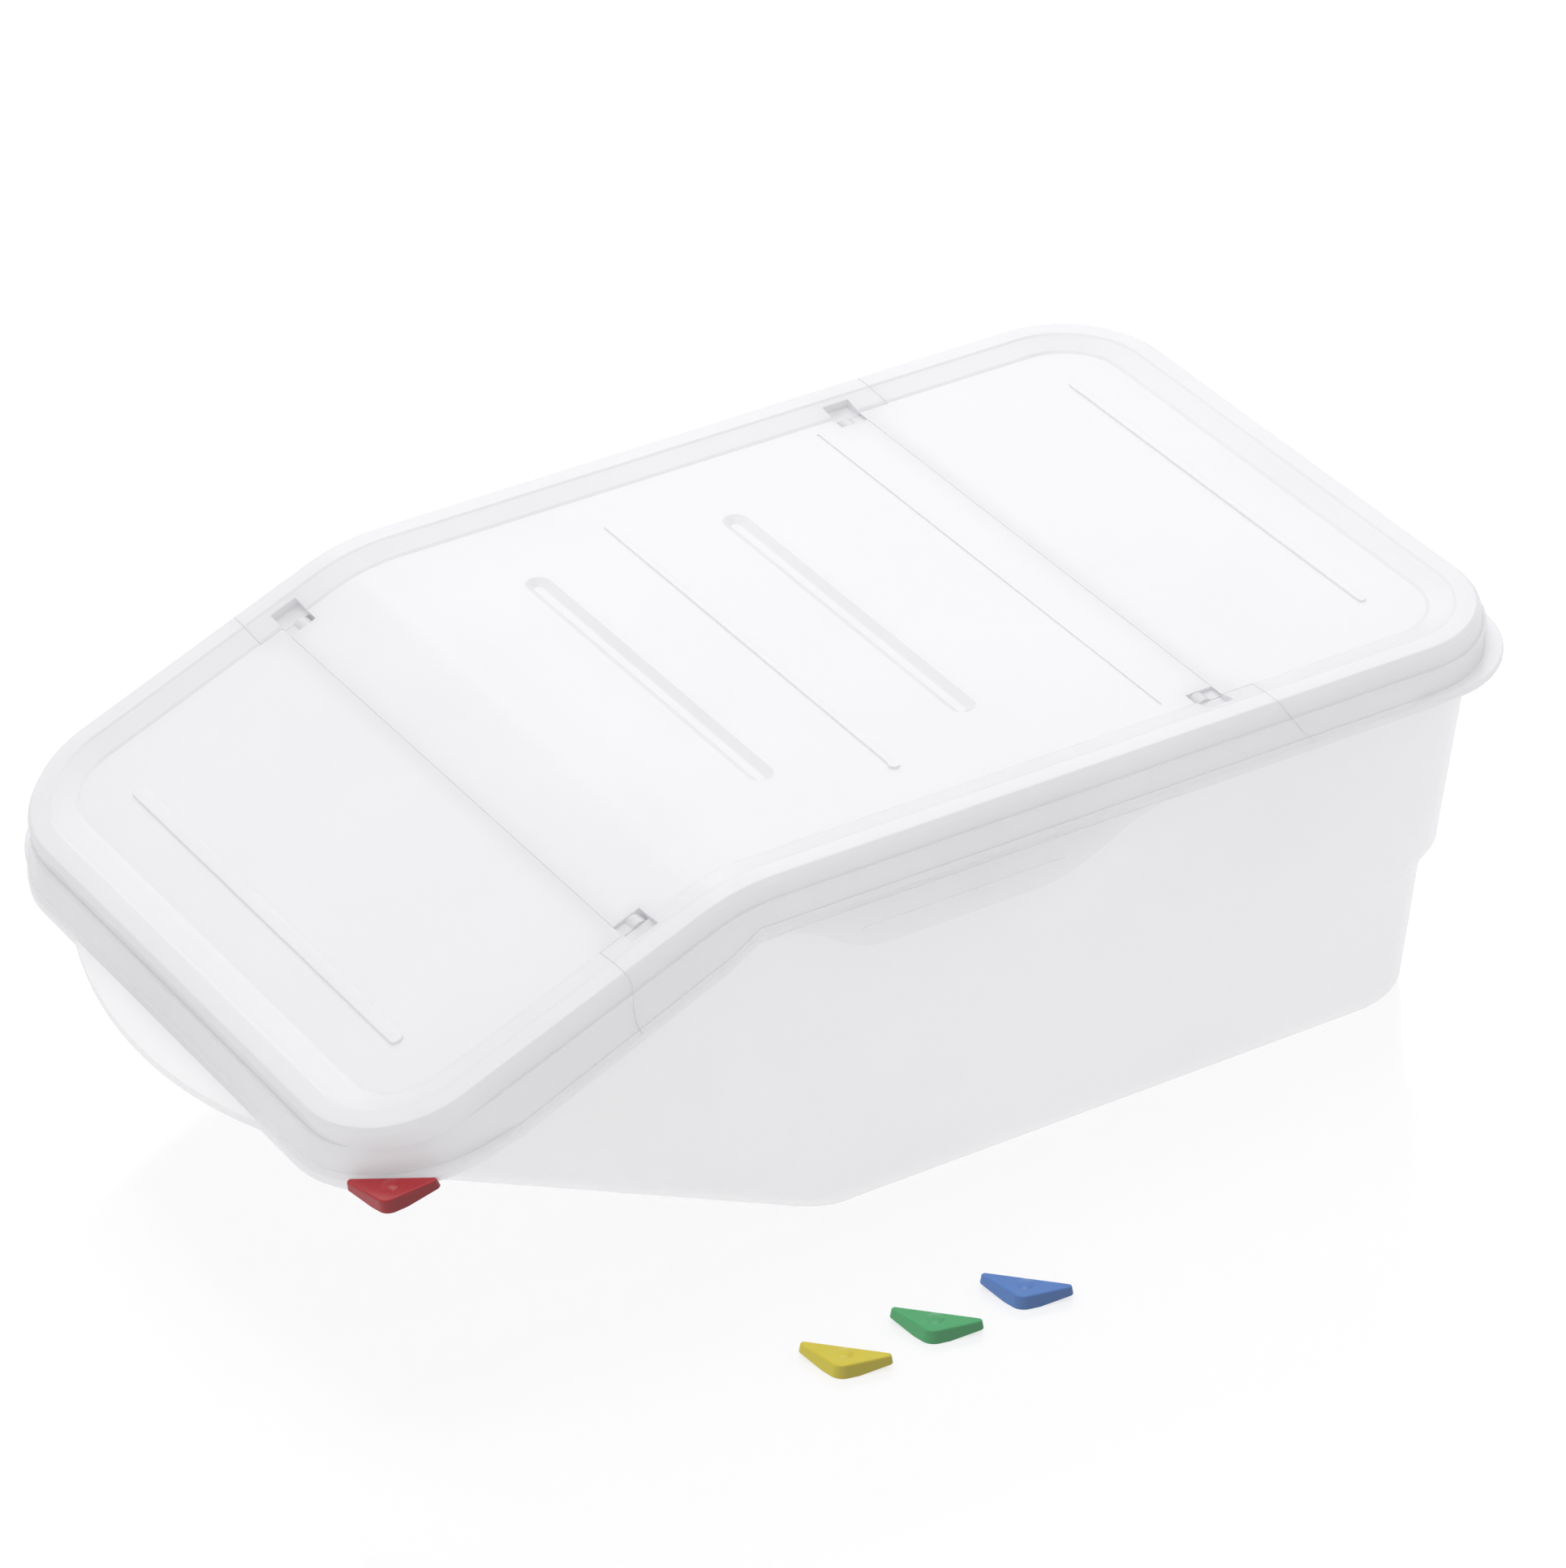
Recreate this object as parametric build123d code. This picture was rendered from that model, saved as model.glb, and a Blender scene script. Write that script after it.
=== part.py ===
from build123d import *
import os
from math import atan, cos, degrees, radians, sin, sqrt, tan

os.makedirs("parts", exist_ok=True)

# Frame: +Z up, length along Y with the sloping scoop end at -Y, width along X.
# The origin is on the floor, under the middle of the base.  Millimetres throughout.

# ---- lid panel and rim ----
panel_z = 196.0            # height of the flat lid panel
panel_half = 147.2         # half width of the panel, up to the raised border
panel_rear = 180.0         # rear edge of the panel
panel_radius = 29.0        # plan corner radius of the panel
slope = 22.5               # fall of the front part of the lid, degrees
bend_y = -210.0            # where the flat and the sloping panel planes meet
bend_radius = 90.0         # radius of the soft bend between them
slope_len = 173.0          # panel length on the slope, from the bend line
skin = 2.2                 # lid thickness
skirt_half = 174.3         # half width over the lid skirt
skirt_front, skirt_rear = -396.0, 207.1    # front and rear faces of the skirt, at its lower edge
skirt_flare = 0.136        # forward lean of the skirt's front face
skirt_t = 2.2
skirt_lip, skirt_lip_h = 0.5, 3.4          # reach and height of the lip along its lower edge
skirt_r_front, skirt_r_rear = 60.0, 56.0   # plan corner radii of the skirt

# ---- tub ----
floor_t = 3.0
wall = 2.5
base_half, base_rear, base_front, base_radius = 152.5, 179.0, -178.0, 44.0
draft = 0.0734             # widening per millimetre of height
rear_step_low, rear_step_high, rear_step = 70.0, 77.0, 7.7
lip_z, lip_front = 98.0, -383.0
flange_t, flange_gap = 4.0, 0.4
tongue_half, tongue_out = 86.0, 14.5       # front pull lip: half width and reach

# ---- hinges ----
hinge_rear_y, hinge_front_s = 55.3, 47.5   # where the flap panels start
axis_back, axis_drop = 9.3, 4.8            # hinge axis, behind that line and below the panel
trunnion_r, bore_r = 2.5, 2.56
knuckle_r = 9.8            # a flap's rear edge lies on this radius around the hinge axis
arm_in, arm_out = 139.8, 146.3             # x range of a hinge arm
pocket_in, pocket_out = 139.4, 146.7       # x range of the pocket it sits in
trunnion_end, boss_end = 152.0, 153.6
pocket_back, pocket_floor = -5.6, -5.4     # rear wall and floor of the pocket, from the axis
notch_end, notch_floor = 156.6, 3.2        # notch in the border beside the pocket

# ---- corner lobes and colour clips ----
lobe_t, lobe_r, lobe_shift = 3.4, 52.5, 12.0
lobe_x, lobe_front_y, lobe_rear_y = 118.2, -333.0, 151.0   # corner centres the lobes point away from
clip_len, clip_depth, clip_t = 42.0, 16.2, 6.2
clip_lean, tip_rise = 1.1, 2.4   # lean of its sides; rise of its underside at the tips
clip_gap_d = 61.4          # distance of the clip's long side from the corner centre
slot_h, slot_clear = 3.8, 0.35

c, s = cos(radians(slope)), sin(radians(slope))     # cosine and sine of the lid's slope
slope_plane = Plane(origin=(0, bend_y, panel_z), x_dir=(1, 0, 0), z_dir=(0, -s, c))
tangent = bend_radius * tan(radians(slope / 2))


def on_slope(dist, up=0.0):
    """Height-profile point (y, z) at a distance down the slope and above its panel."""
    return (bend_y - dist * c - up * s, panel_z - dist * s + up * c)


def prism(points, half):
    """Side-view polygon of (y, z) points, extruded symmetrically across the width."""
    plane = Plane(origin=(0, 0, 0), x_dir=(0, 1, 0), z_dir=(1, 0, 0))
    return extrude(plane * make_face(Polyline(*points, close=True)), half, both=True)


def block(x0, x1, y0, y1, z0, z1):
    """Plain box between two corners."""
    return Pos((x0 + x1) / 2, (y0 + y1) / 2, (z0 + z1) / 2) * Box(x1 - x0, y1 - y0, z1 - z0)


def plan_rect(half, front, rear, radius, z=0.0):
    """Rounded rectangle seen from above."""
    return Pos(0, (front + rear) / 2, z) * RectangleRounded(2 * half, rear - front, radius)


def plan_prism(half, front, rear, radius, z0, z1):
    return extrude(plan_rect(half, front, rear, radius, z0), z1 - z0)


def both_sides(shape):
    """The shape and its mirror image across the middle of the width."""
    return shape + mirror(shape, Plane.YZ)


def top_profile(up):
    """Side-view line of the lid panel, shifted along its own normal, rear to front."""
    r = bend_radius + up
    start = (bend_y + tangent, panel_z + up)
    mid = (start[0] - r * sin(radians(slope / 2)), start[1] - r * (1 - cos(radians(slope / 2))))
    end = (start[0] - r * s, start[1] - r * (1 - c))
    far = (end[0] - 260 * c, end[1] - 260 * s)
    rear = (260.0, panel_z + up)
    return rear, start, mid, end, far


def profile_band(up_top, up_bottom, half):
    """Solid between two normal offsets of the panel line, across the width."""
    a, b = top_profile(up_top), top_profile(up_bottom)
    edges = [Line(a[0], a[1]), ThreePointArc(a[1], a[2], a[3]), Line(a[3], a[4]), Line(a[4], b[4]),
             Line(b[4], b[3]), ThreePointArc(b[3], b[2], b[1]), Line(b[1], b[0]), Line(b[0], a[0])]
    plane = Plane(origin=(0, 0, 0), x_dir=(0, 1, 0), z_dir=(1, 0, 0))
    return extrude(plane * make_face(edges), half, both=True)


# Lower edge of the lid skirt seen from the side: level at the back, one quick drop at the
# bend, then a fall that eases towards the lip.
skirt_line = [(260, 175.3), (-201.6, 175.3), (-216, 165.8), (-320, 119.5), (-440, 86.4)]
lip_fall = (119.5 - 86.4) / 120            # slope of its front stretch


def below_skirt(shift, depth=200.0, half=230.0):
    """Everything from the skirt line, shifted up or down, to a given depth below it."""
    down = [(y, z + shift - depth) for y, z in reversed(skirt_line)]
    return prism([(y, z + shift) for y, z in skirt_line] + down, half)


# ------------------------------------------------------------------ lid, as one moulding
h, r = panel_half, panel_radius


def corner(x, y, sx, sy, to_point):
    """Three points of a quarter-circle corner, around (x, y), mapped by to_point."""
    k = r / sqrt(2)
    return to_point(x, y + sy * r), to_point(x + sx * k, y + sy * k), to_point(x + sx * r, y)


def flat(x, y):
    return x, y, panel_z


def tilt(x, y):
    return x, bend_y + y * c, panel_z + y * s


def flip(p):
    return -p[0], p[1], p[2]


rear_round = corner(h - r, panel_rear - r, 1, 1, flat)
front_round = corner(h - r, -(slope_len - r), 1, -1, tilt)
bend = top_profile(0.0)
side = [(h,) + p for p in bend[1:4]]
half_path = [Line((0, panel_rear, panel_z), rear_round[0]), ThreePointArc(*rear_round),
             Line(rear_round[2], side[0]), ThreePointArc(*side), Line(side[2], front_round[2]),
             ThreePointArc(*reversed(front_round))]
front_edge = Line(front_round[0], flip(front_round[0]))
other_half = [ThreePointArc(*[flip(p) for p in front_round]), Line(flip(front_round[2]), flip(side[2])),
              ThreePointArc(*[flip(p) for p in reversed(side)]), Line(flip(side[0]), flip(rear_round[2])),
              ThreePointArc(*[flip(p) for p in reversed(rear_round)]),
              Line(flip(rear_round[0]), (0, panel_rear, panel_z))]
rim_path = Wire(half_path + [front_edge] + other_half)

# Rim section, outwards and up: ramp from the panel, flat bead, rounded shoulder.
outer = [(-1.5, 0), (0, 0), (1.5, 0.9), (12.2, 3.0), (13.4, 3.7), (22.3, 3.7), (24.6, 0.9), (25.9, -6.4)]
inner = [(23.7, -6.4), (22.6, 0.0), (21.2, 1.5), (13.8, 1.5), (12.4, 0.8), (2.4, -1.2), (0.6, -2.2),
         (-1.5, -2.2)]
rim_plane = Plane(origin=(0, panel_rear, panel_z), x_dir=(0, 1, 0), z_dir=(1, 0, 0))
rim_face = make_face(Polyline(*outer, *inner, close=True))
for (px, py), rad in zip(outer[2:7], (1.2, 1.0, 0.8, 1.0, 1.8)):
    corner_point = rim_face.vertices().sort_by_distance((px, py, 0))[0]
    rim_face = fillet(corner_point, rad)
lid = sweep(rim_plane * rim_face, path=rim_path)


def skirt_plan(shrink, z0, z1):
    """Everything inside the skirt's outline, seen from above, between two heights."""
    half, top, low, level = skirt_half - shrink, 131.0, 60.0, 98.5
    rear = plan_prism(half, -300, skirt_rear - shrink, skirt_r_rear - shrink, z0, z1)
    rear &= block(-half, half, -216, 300, z0, z1)
    edge_low, edge_top = [skirt_front + (z - level) * skirt_flare + shrink for z in (low, top)]
    radius = skirt_r_front - shrink
    front = loft([plan_rect(half, edge_low, 0, radius, low), plan_rect(half, edge_top, 0, radius, top)],
                 ruled=True)
    straight = plan_prism(half, edge_top, 0, radius, top, z1)
    return rear + ((front + straight) & block(-half, half, -440, -216, z0, z1))


skirt = skirt_plan(0.0, 60, 200) - skirt_plan(skirt_t, 60, 200)
skirt -= profile_band(140, -5.6, 400)
lid += skirt

# the skirt's lower edge is thickened by a narrow lip
lip_line = [(y, z + skirt_lip_h) for y, z in skirt_line] + [(y, z - 2) for y, z in reversed(skirt_line)]
lid += (skirt_plan(-skirt_lip, 60, 200) - skirt_plan(skirt_t, 60, 200)) & prism(lip_line, 230)

panel_front = on_slope(slope_len)[0]
lid += profile_band(0, -skin, 400) & plan_prism(h + 0.8, panel_front - 0.8, panel_rear + 0.8, r, 60, 230)
lid -= below_skirt(0.0)


def slot_shape(y, length, width, z, amount):
    """Long groove or rib with rounded ends, across the flat panel."""
    return Pos(0, y, z) * extrude(SlotOverall(length, width), amount)


def rib(length, width, height):
    """Raised rib with rounded upper edges, centred on the panel it stands on."""
    bar = Pos(0, 0, -1) * extrude(SlotOverall(length, width), height + 1)
    return fillet(bar.faces().sort_by(Axis.Z)[-1].edges(), 0.6)


groove_y, groove_len, groove_w, groove_depth = (-150.9, -46.5), 199.0, 12.5, 2.6
for y in groove_y:
    lid += slot_shape(y, groove_len + 3, groove_w + 3, panel_z - 4.4, 3.4)
    groove = extrude(SlotOverall(groove_len, groove_w), groove_depth, dir=(0, 0, -1), taper=58)
    lid -= Pos(0, y, panel_z) * groove
lid += Pos(0, -99.0, panel_z) * rib(242, 3.4, 0.9)
lid += Pos(119.5, -99.0, panel_z - 1) * extrude(Circle(2.6), 2.2)
lid += Pos(0, 153.4, panel_z) * rib(234, 4.0, 1.0)
lid -= block(-140, 140, 26.6, 27.8, panel_z - 0.7, panel_z + 2)
lid += slope_plane * Pos(0, -146.5, 0) * rib(234, 6.4, 1.2)

# lobes stand out of the skirt's lower edge at the corners; the colour clips push onto them
lobe_tilt = degrees(atan(lip_fall))


def corner_plane(sx, front):
    """Top face of a corner lobe: centred on the corner arc, local +X pointing out of the corner."""
    if not front:
        level = Plane(origin=(sx * lobe_x, lobe_rear_y, 175.3 + lobe_t))
        return level * Rot(0, 0, 45 if sx > 0 else 135)
    height = 119.5 + (lobe_front_y + 320) * lip_fall + lobe_t * sqrt(1 + lip_fall ** 2)
    tilted = Plane(origin=(sx * lobe_x, lobe_front_y, height), x_dir=(1, 0, 0),
                   z_dir=(0, -sin(radians(lobe_tilt)), cos(radians(lobe_tilt))))
    return tilted * Rot(0, 0, -45 if sx > 0 else -135)


def lobe_outline(grow=0.0):
    """Plan of a corner lobe around the corner centre, pointing along local +X."""
    return Pos(lobe_shift, 0) * Circle(lobe_r + grow)


inside_skirt = skirt_plan(skirt_t - 0.6, 60, 230)
for sx in (1, -1):
    for front in (True, False):
        plate = corner_plane(sx, front) * Pos(0, 0, -lobe_t) * extrude(lobe_outline(), lobe_t)
        plate = fillet(plate.edges().filter_by(GeomType.CIRCLE), 0.9)
        lid += plate - inside_skirt

# ------------------------------------------------------------------ hinges and seams
rear_hinge = Plane(origin=(0, hinge_rear_y - axis_back, panel_z - axis_drop),
                   x_dir=(1, 0, 0), z_dir=(0, 0, 1))
fy, fz = on_slope(hinge_front_s - axis_back, -axis_drop)
front_hinge = Plane(origin=(0, fy, fz), x_dir=(-1, 0, 0), z_dir=(0, -s, c))

# Seam through bead and skirt, (out from the axis, up), top to bottom.  It moves away from the
# axis on the way down, so that the flap swings clear of the middle section.
rear_seam = [(22.3, 20), (22.3, 8.5), (32.7, -7.6), (41.0, -15.9), (60, -35)]
front_seam = [(20.8, 20), (20.8, 3), (25.5, -6), (27.4, -14), (27.6, -60)]
seam_gap = 0.15            # each side of the seam


def flap_region(seam, grow):
    """Space taken by a flap in its hinge frame; grow makes it larger, for cutting."""
    far = [(p[0] + 400, p[1]) for p in reversed(seam)]
    plane = Plane(origin=(0, 0, 0), x_dir=(0, 1, 0), z_dir=(1, 0, 0))
    pts = [(p[0] - grow, p[1]) for p in seam] + far
    ends = extrude(plane * make_face(Polyline(*pts, close=True)), 260, both=True)
    # across the panel the edge leans back with height, so it clears the fixed edge as it turns
    low, top = axis_drop - skin, axis_drop
    y_low, y_top = sqrt(knuckle_r ** 2 - low ** 2) - grow, sqrt(knuckle_r ** 2 - top ** 2) - grow
    lean = (y_top - y_low) / (top - low)
    edge = [(y_low, -60), (y_low, low), (y_low + lean * (12 - low), 12), (500, 12), (500, -60)]
    middle = extrude(plane * make_face(Polyline(*edge, close=True)), panel_half + grow - 0.1, both=True)
    return ends + middle


def hinge_arm():
    """One arm with its barrel and outward trunnion, in the hinge frame."""
    length = arm_out - arm_in
    place = Pos((arm_in + arm_out) / 2, 0, 0) * Rot(0, 90, 0)
    arm = place * Cylinder(4.6, length)
    arm += block(arm_in, arm_out, 0, 9.2, -2.6, 3.3)
    arm += block(arm_in, arm_out, 5, 19, -2.6, axis_drop - skin + 0.2)
    pin_len = trunnion_end - arm_in
    arm += Pos(arm_in + pin_len / 2, 0, 0) * Rot(0, 90, 0) * Cylinder(trunnion_r, pin_len)
    return arm


def hinge_pocket():
    """Opening an arm turns in, with a shallow notch beside it in the border."""
    opening = block(pocket_in, pocket_out, pocket_back, axis_back + 1, -30, 30)
    return opening + block(pocket_out - 1, notch_end, pocket_back, axis_back - 0.9, notch_floor, 30)


def hinge_boss():
    """Walls and floor round the pocket, and the boss that carries the trunnion."""
    t = 1.8
    front, back = axis_back + 0.6, pocket_back - t
    low, ledge = pocket_floor - 1.5, notch_floor - 1.6
    side = panel_half + 0.1
    body = block(148.0, boss_end, -5.4, 5.4, low, notch_floor)
    body += block(pocket_in - t, pocket_in, back, 8.0, low, axis_drop - 1)
    body += block(pocket_in - t, boss_end, back, pocket_back, low, axis_drop - 1)
    body += block(pocket_in - t, 148.2, back, front, low, pocket_floor)
    body += block(side, notch_end + t, back, front, ledge, notch_floor)
    body += block(notch_end, notch_end + t, back, front, ledge, axis_drop + 2)
    for y0, y1 in ((back, pocket_back), (axis_back - 0.9, front)):
        body += block(side, notch_end + t, y0, y1, ledge, axis_drop)
    return body


def hinge_shelf():
    """Ledge under the gap between flap and middle section, so nothing falls through it."""
    reach = pocket_in - 1.4
    under = axis_drop - skin
    return block(-reach, reach, 4.0, 13.5, under - 2.0, under - 0.3) + \
        block(-reach, reach, 4.0, 8.5, under - 1.0, under + 0.5)


flaps = {}
centre = lid
for name, frame, seam in (("front_flap", front_hinge, front_seam), ("rear_flap", rear_hinge, rear_seam)):
    keep = frame * flap_region(seam, -seam_gap)
    drop = frame * flap_region(seam, seam_gap)
    flaps[name] = (lid & keep) + frame * both_sides(hinge_arm())
    centre = centre - drop
    centre = (centre - frame * both_sides(hinge_pocket())) + frame * both_sides(hinge_boss())
    centre += frame * hinge_shelf()
    bore = Pos(146 + 6.6 / 2, 0, 0) * Rot(0, 90, 0) * Cylinder(bore_r, 6.6)
    centre -= frame * both_sides(bore)

# ------------------------------------------------------------------ tub


def tub_sections(inset):
    """Rounded sections of the tub, bottom to top; inset > 0 gives the inside."""
    z0 = floor_t if inset else 0.0
    run = (base_front - lip_front) / lip_z
    low, high, lip = rear_step_low, rear_step_high, lip_z
    if inset:
        low, high, lip = low + 2.0, high + 2.0, lip + 2.5
    faces = []
    for z, step in ((z0, 0), (low, 0), (high, rear_step), (lip, rear_step), (205.0, rear_step)):
        front = base_front - run * min(z, lip_z) - (1.5 if z > 150 else 0)
        gap = inset * 2.3 if (inset and z < lip) else inset
        half = base_half + draft * z - inset
        rear = base_rear + 0.08 * z + step - inset
        rad = base_radius + (2.0 if z > 60 else 0.0) - inset
        faces.append(plan_rect(half, front + gap, rear, rad, z))
    return faces


shell = loft(tub_sections(0.0), ruled=True)
cavity = loft(tub_sections(wall), ruled=True)
shell = fillet(shell.faces().sort_by(Axis.Z)[0].edges(), 5.0)
cavity = fillet(cavity.faces().sort_by(Axis.Z)[0].edges(), 3.0)
under_lid = prism([(260, panel_z - 2), (bend_y + 1, panel_z - 2), on_slope(300, -2.0), (-500, 40),
                   (-500, 320), (260, 320)], 300)
tub = shell

# flange under the lid skirt, with a pull lip along the front edge
flange = skirt_plan(0.5, 60, 230)
arc_r = (tongue_half ** 2 + tongue_out ** 2) / (2 * tongue_out)
tongue = Pos(0, skirt_front + 0.6 - tongue_out + arc_r, 60) * extrude(Circle(arc_r), 100)
flange += tongue & block(-tongue_half, tongue_half, skirt_front - 20, skirt_front + 2, 60, 160)
tub += flange & below_skirt(-flange_gap, flange_t)

# side grips: wave-edged skirts hanging from the flange, with one web each
grip_low, grip_top = 149.0, 172.0
grip_plane = Plane(origin=(skirt_half - 2.4, 0, 0), x_dir=(0, 1, 0), z_dir=(1, 0, 0))
grip_face = make_face([Spline((16, grip_top), (-62, grip_low), tangents=((-1, 0), (-1, 0))),
                       Line((-62, grip_low), (-134, grip_low)),
                       Spline((-134, grip_low), (-197, grip_top), tangents=((-1, 0), (-1, 0))),
                       Line((-197, grip_top), (16, grip_top))])
grip = extrude(grip_plane * grip_face, 2.4)
grip += block(skirt_half - 0.2, skirt_half + 0.5, -150, -46, 159.2, 160.8)
web = block(163.0, skirt_half - 1, -89.8, -86.2, 152, 173)
tub += both_sides(grip + web)

# stacking channels pressed up into the floor
channels = ((-112.0, -84.0), (107.0, 125.0))
tub -= cavity
for y0, y1 in channels:
    roof = block(-146, 146, y0 - 2.5, y1 + 2.5, 0.5, 3.6 + floor_t)
    tub += roof & shell
    tub -= block(-142, 142, y0, y1, -1, 3.6)
tub -= under_lid & block(-169.5, 169.5, -400, 204.5, 60, 330)

# ------------------------------------------------------------------ colour clips


def clip_outline(inset):
    """Plan of a clip: a long side along local Y at x = 0 and a blunt apex towards +X."""
    tip_r, apex_r = 2.6, 7.0
    ends = [Pos(tip_r, k * (clip_len / 2 - tip_r)) * Circle(tip_r - inset) for k in (1, -1)]
    apex = Pos(clip_depth - apex_r, 0) * Circle(apex_r - inset)
    return make_hull([ends[0].edge(), ends[1].edge(), apex.edge()])


def clip():
    """Clip lying flat, base at z = 0, with sides that lean in towards the top."""
    body = loft([clip_outline(0), Pos(0, 0, clip_t) * clip_outline(clip_lean)], ruled=True)
    body = fillet(body.faces().sort_by(Axis.Z)[-1].edges(), 1.0)
    # the underside rises towards both tips
    side_view = Plane(origin=(-1, 0, 0), x_dir=(0, 1, 0), z_dir=(1, 0, 0))
    rise = extrude(side_view * make_face(Polyline((8, -1), (8, 0), (22, tip_rise), (22, -1), close=True)), 20)
    body = body - rise - mirror(rise, Plane.XZ)
    dome_r = 10.4
    body += (Pos(5.8, 0, clip_t + 0.8 - dome_r) * Sphere(dome_r)) & Pos(5.8, 0, clip_t + 1.9) * Box(9, 9, 4)
    slot = Pos(-clip_gap_d, 0, (clip_t - slot_h) / 2) * extrude(lobe_outline(slot_clear), slot_h)
    return body - slot


# the red clip is pushed onto the front right lobe
fit_shift = (clip_t - slot_h) / 2 + lobe_t + (slot_h - lobe_t) / 2
clips = {"clip_red": corner_plane(1, True) * Pos(clip_gap_d, 0, -fit_shift) * clip()}

# three spare clips lie in a row on the floor beside the tub
spare_x, spare_ys = 246.5, (-203.4, -156.9, -110.4)
for name, y in zip(("clip_yellow", "clip_green", "clip_blue"), spare_ys):
    clips[name] = Pos(spare_x, y, 0) * Rot(0, 0, -45) * clip()

nodes = {"bin_tub": tub, "lid_centre": centre, **flaps, **clips}
for name, shape in nodes.items():
    export_step(shape, f"parts/{name}.step")
    print(name, round(shape.volume / 1000, 2), "cm3", len(shape.solids()), "solid", shape.is_valid)
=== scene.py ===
import bpy
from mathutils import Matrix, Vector

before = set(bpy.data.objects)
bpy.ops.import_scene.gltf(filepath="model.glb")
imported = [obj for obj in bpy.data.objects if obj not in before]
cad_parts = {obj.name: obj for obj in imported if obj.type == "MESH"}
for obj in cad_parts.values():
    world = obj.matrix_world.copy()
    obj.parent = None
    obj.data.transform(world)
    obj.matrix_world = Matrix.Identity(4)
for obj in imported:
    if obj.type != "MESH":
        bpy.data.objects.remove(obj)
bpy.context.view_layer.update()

# Every visible piece is one of the frame's own nodes; this script adds the camera, the light, the
# floor and the plastics.  Metres throughout, in the frame's axes.

scene = bpy.context.scene

# ---- view ----
camera_place = (2.4672, -1.6386, 1.9762)
camera_target = (0.4649, -0.3738, 0.4664)
camera_lens, sensor_width = 176.76, 36.0           # millimetres
light_bounces = 10                                 # enough to carry light into the closed tub

# ---- studio ----
window_side = (0.84, -0.50, 0.18)                  # the surroundings get dimmer towards this side
window_range = (-0.7, 0.8)                         # where that change starts and ends
bright_side, dim_side = (0.88, 0.875, 0.90), (0.755, 0.765, 0.76)
aim_height = 0.15                                  # height that the two side lamps point at
floor_half = 9.0
floor_colour, floor_glow = (0.27, 0.268, 0.275), 0.705

# ---- plastics ----
tub_colour, lid_colour = (0.985, 0.98, 0.985), (0.955, 0.95, 0.96)
clip_colours = {
    "clip_red": (0.43, 0.018, 0.026),
    "clip_yellow": (0.72, 0.60, 0.05),
    "clip_green": (0.08, 0.42, 0.16),
    "clip_blue": (0.10, 0.23, 0.58),
}
painted_shade_facing = (0.78, 0.30, -0.55)              # painted shade: clip faces turned this way are painted darker
painted_shade_span = (-0.5, 0.85)                         # how far along that direction the painted shade starts and ends
gloss_spread = (-0.04, 0.06)                       # the cloud moves the roughness by this much
painted_glow_strength = 0.05                                   # painted glow: emission that brightens the tub's walls, though they are no lamp
painted_glow_fade = (0.1665, 0.1710)                       # the painted glow fades between these distances from the middle
front_shift = 0.212                                # added to those distances for the front end
grain_scale, grain_depth = 900.0, 0.0002           # fine moulding texture


def node(tree, kind, **settings):
    """New shader node with some of its properties set."""
    made = tree.nodes.new(kind)
    for key, value in settings.items():
        setattr(made, key, value)
    return made


def place_facing(thing, place, target):
    """Put a camera or lamp at a place, pointing at a target."""
    scene.collection.objects.link(thing)
    thing.location = place
    thing.rotation_mode = "QUATERNION"
    thing.rotation_quaternion = (Vector(target) - Vector(place)).to_track_quat("-Z", "Y")


def map_range(tree, source, from_range, to_range):
    """Linear map of a shader value from one range to another."""
    made = node(tree, "ShaderNodeMapRange")
    made.inputs["From Min"].default_value, made.inputs["From Max"].default_value = from_range
    made.inputs["To Min"].default_value, made.inputs["To Max"].default_value = to_range
    tree.links.new(source, made.inputs["Value"])
    return made.outputs["Result"]


def along(tree, source, direction):
    """How far a direction-like shader value points along a fixed direction."""
    made = node(tree, "ShaderNodeVectorMath", operation="DOT_PRODUCT")
    made.inputs[1].default_value = direction
    tree.links.new(source, made.inputs[0])
    return made.outputs["Value"]


# ------------------------------------------------------------------ camera
def add_camera():
    data = bpy.data.cameras.new("camera")
    data.sensor_fit = "HORIZONTAL"
    data.sensor_width = sensor_width
    data.lens = camera_lens
    camera = bpy.data.objects.new("camera", data)
    place_facing(camera, camera_place, camera_target)
    scene.camera = camera


# ------------------------------------------------------------------ light
def add_surroundings():
    """Even white room, a little dimmer on one side."""
    world = bpy.data.worlds.new("studio")
    scene.world = world
    world.use_nodes = True
    tree = world.node_tree
    tree.nodes.clear()
    out = node(tree, "ShaderNodeOutputWorld")
    background = node(tree, "ShaderNodeBackground")
    direction = node(tree, "ShaderNodeTexCoord").outputs["Generated"]
    amount = map_range(tree, along(tree, direction, window_side), window_range, (0.0, 1.0))
    ramp = node(tree, "ShaderNodeValToRGB")
    ramp.color_ramp.interpolation = "EASE"
    for stop, colour in zip(ramp.color_ramp.elements, (bright_side, dim_side)):
        stop.color = (*colour, 1)
    tree.links.new(amount, ramp.inputs["Fac"])
    tree.links.new(ramp.outputs["Color"], background.inputs["Color"])
    tree.links.new(background.outputs["Background"], out.inputs["Surface"])


def area(name, place, target, size, power):
    """Soft rectangular lamp; power in watts."""
    data = bpy.data.lights.new(name, "AREA")
    data.shape = "RECTANGLE"
    data.size, data.size_y = size
    data.energy = power
    place_facing(bpy.data.objects.new(name, data), place, target)


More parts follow.
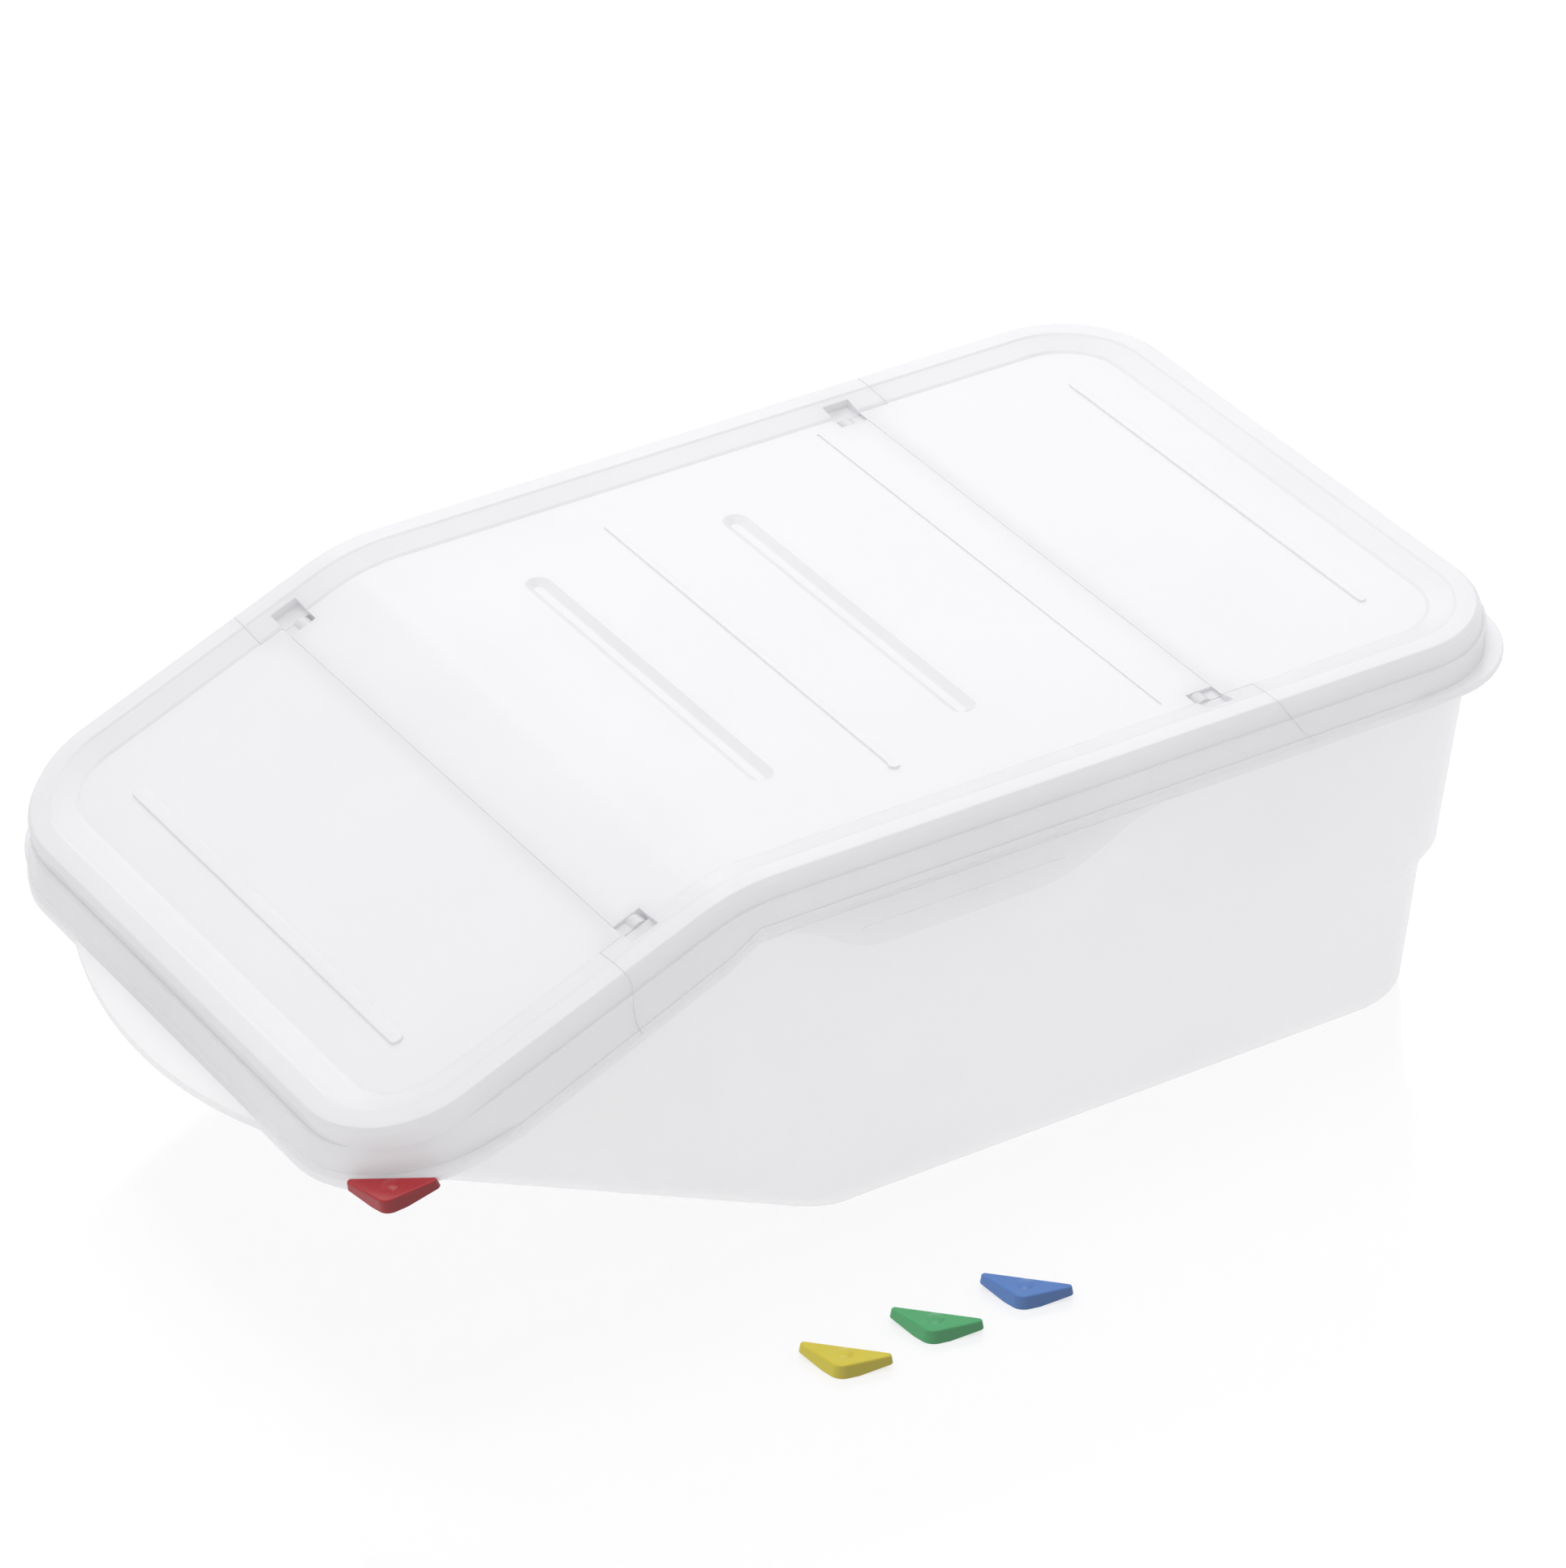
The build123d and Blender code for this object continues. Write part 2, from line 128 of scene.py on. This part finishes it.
def add_light():
    scene.view_settings.view_transform = "Standard"
    scene.view_settings.look = "None"
    scene.cycles.diffuse_bounces = light_bounces
    add_surroundings()
    area("top_soft", (-0.4, -0.1, 2.3), (0, 0, 0.1), (1.4, 1.4), 10.0)
    area("far_soft", (-2.3, 1.25, 2.0), (0, 0, aim_height), (2.2, 1.5), 11.5)
    area("slope_soft", (-2.0, -0.25, 2.2), (0, -0.3, aim_height), (1.2, 1.2), 5.0)
    # small lamp for the bright streak on the near shoulder, by the bend
    area("glint", (0.97, 0.73, 1.8), (0.17, -0.165, 0.2), (0.10, 0.08), 0.9)


# ------------------------------------------------------------------ materials
def material(name):
    """Empty material with its node tree and output."""
    mat = bpy.data.materials.new(name)
    mat.use_nodes = True
    mat.node_tree.nodes.clear()
    out = node(mat.node_tree, "ShaderNodeOutputMaterial")
    return mat, mat.node_tree, out


def mixed(tree, amount, first, second):
    """Blend of two shaders, with a fixed share of the second."""
    made = node(tree, "ShaderNodeMixShader")
    made.inputs["Fac"].default_value = amount
    tree.links.new(first, made.inputs[1])
    tree.links.new(second, made.inputs[2])
    return made.outputs["Shader"]


def painted_glow_map(tree, position, strength):
    """Painted glow of the walls (emission), faded out towards the side grips, the side flanges and
    the pull lip.
    """
    parts = node(tree, "ShaderNodeSeparateXYZ")
    tree.links.new(position, parts.inputs["Vector"])
    outward = node(tree, "ShaderNodeMath", operation="ABSOLUTE")
    tree.links.new(parts.outputs["X"], outward.inputs[0])
    ahead = node(tree, "ShaderNodeMath", operation="MULTIPLY_ADD")
    tree.links.new(parts.outputs["Y"], ahead.inputs[0])
    ahead.inputs[1].default_value = -1.0
    ahead.inputs[2].default_value = -front_shift
    reach = node(tree, "ShaderNodeMath", operation="MAXIMUM")
    tree.links.new(outward.outputs["Value"], reach.inputs[0])
    tree.links.new(ahead.outputs["Value"], reach.inputs[1])
    return map_range(tree, reach.outputs["Value"], painted_glow_fade, (strength, 0.0))


def plastic(name, colour, see_through=0.0, milk=0.0, rough=0.2, vary=0.03, scale=14.0,
            painted_shade_amount=0.0, painted_glow_level=0.0):
    """Moulded plastic.

    milk is the share of light that passes through diffusely, see_through the share that passes
    straight.  vary and scale set a faint cloud in the colour.  The shade argument is painted shade:
    it darkens the colour of faces turned along a fixed direction.  The glow argument is the
    strength of the painted glow, an emission that brightens the tub's walls.
    """
    mat, tree, out = material(name)
    link = tree.links.new
    coords = node(tree, "ShaderNodeTexCoord")

    cloud = node(tree, "ShaderNodeTexNoise")
    cloud.inputs["Scale"].default_value = scale
    cloud.inputs["Detail"].default_value = 3.0
    link(coords.outputs["Object"], cloud.inputs["Vector"])
    strength = map_range(tree, cloud.outputs["Fac"], (0.0, 1.0), (1.0 - vary, 1.0))
    # painted shade: the colour is darkened on faces turned along a fixed object-space direction
    if painted_shade_amount:
        facing = along(tree, coords.outputs["Normal"], painted_shade_facing)
        painted_shade_factor = map_range(tree, facing, painted_shade_span, (1.0, 1.0 - painted_shade_amount))
        darker = node(tree, "ShaderNodeMath", operation="MULTIPLY")
        link(strength, darker.inputs[0])
        link(painted_shade_factor, darker.inputs[1])
        strength = darker.outputs["Value"]
    colour_and_painted_shade = node(tree, "ShaderNodeMix", data_type="RGBA", blend_type="MULTIPLY")
    colour_and_painted_shade.inputs["Factor"].default_value = 1.0
    colour_and_painted_shade.inputs["A"].default_value = (*colour, 1)
    link(strength, colour_and_painted_shade.inputs["B"])

    surface = node(tree, "ShaderNodeBsdfPrincipled")
    link(colour_and_painted_shade.outputs["Result"], surface.inputs["Base Color"])
    least, most = [rough + shift for shift in gloss_spread]
    gloss = map_range(tree, cloud.outputs["Fac"], (0.0, 1.0), (least, most))
    link(gloss, surface.inputs["Roughness"])
    grain = node(tree, "ShaderNodeTexNoise")
    grain.inputs["Scale"].default_value = grain_scale
    link(coords.outputs["Object"], grain.inputs["Vector"])
    bump = node(tree, "ShaderNodeBump")
    bump.inputs["Strength"].default_value = 0.05
    bump.inputs["Distance"].default_value = grain_depth
    link(grain.outputs["Fac"], bump.inputs["Height"])
    link(bump.outputs["Normal"], surface.inputs["Normal"])

    # painted glow: white emission in the tub's walls, faded out near the grips, the flanges and the
    # pull lip
    if painted_glow_level:
        surface.inputs["Emission Color"].default_value = (1.0, 1.0, 1.0, 1)
        link(painted_glow_map(tree, coords.outputs["Object"], painted_glow_level), surface.inputs["Emission Strength"])
    shader = surface.outputs["BSDF"]
    if milk:
        glow = node(tree, "ShaderNodeBsdfTranslucent")
        link(colour_and_painted_shade.outputs["Result"], glow.inputs["Color"])
        shader = mixed(tree, milk, shader, glow.outputs["BSDF"])
    if see_through:
        clear = node(tree, "ShaderNodeBsdfTransparent")
        shader = mixed(tree, see_through, shader, clear.outputs["BSDF"])
    link(shader, out.inputs["Surface"])
    return mat


def floor_material():
    """Pale satin floor with a glow of its own, so that it renders nearly white."""
    mat, tree, out = material("floor")
    surface = node(tree, "ShaderNodeBsdfPrincipled")
    surface.inputs["Base Color"].default_value = (*floor_colour, 1)
    surface.inputs["Roughness"].default_value = 0.12
    surface.inputs["Specular IOR Level"].default_value = 0.4
    surface.inputs["Emission Color"].default_value = (1.0, 1.0, 1.0, 1)
    surface.inputs["Emission Strength"].default_value = floor_glow
    tree.links.new(surface.outputs["BSDF"], out.inputs["Surface"])
    return mat


# ------------------------------------------------------------------ floor
def add_floor():
    corners = [(x * floor_half, y * floor_half, 0) for x, y in ((-1, -1), (1, -1), (1, 1), (-1, 1))]
    mesh = bpy.data.meshes.new("floor")
    mesh.from_pydata(corners, [], [(0, 1, 2, 3)])
    floor = bpy.data.objects.new("floor", mesh)
    scene.collection.objects.link(floor)
    floor.data.materials.append(floor_material())


# ------------------------------------------------------------------ finishes
def paint_nodes():
    lid = plastic("lid_plastic", lid_colour, milk=0.40)
    # the tub's walls carry painted glow
    tub = plastic("tub_plastic", tub_colour, see_through=0.20, milk=0.50, vary=0.05, scale=7.0,
                  painted_glow_level=painted_glow_strength)
    finishes = {"bin_tub": tub, "lid_centre": lid, "front_flap": lid, "rear_flap": lid}
    for name, colour in clip_colours.items():
        # the clips carry painted shade, darker on the faces turned along the shade direction
        finishes[name] = plastic(name, colour, rough=0.17, painted_shade_amount=0.62)
    for name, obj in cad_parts.items():
        obj.data.materials.clear()
        obj.data.materials.append(finishes[name])


add_camera()
add_light()
add_floor()
paint_nodes()
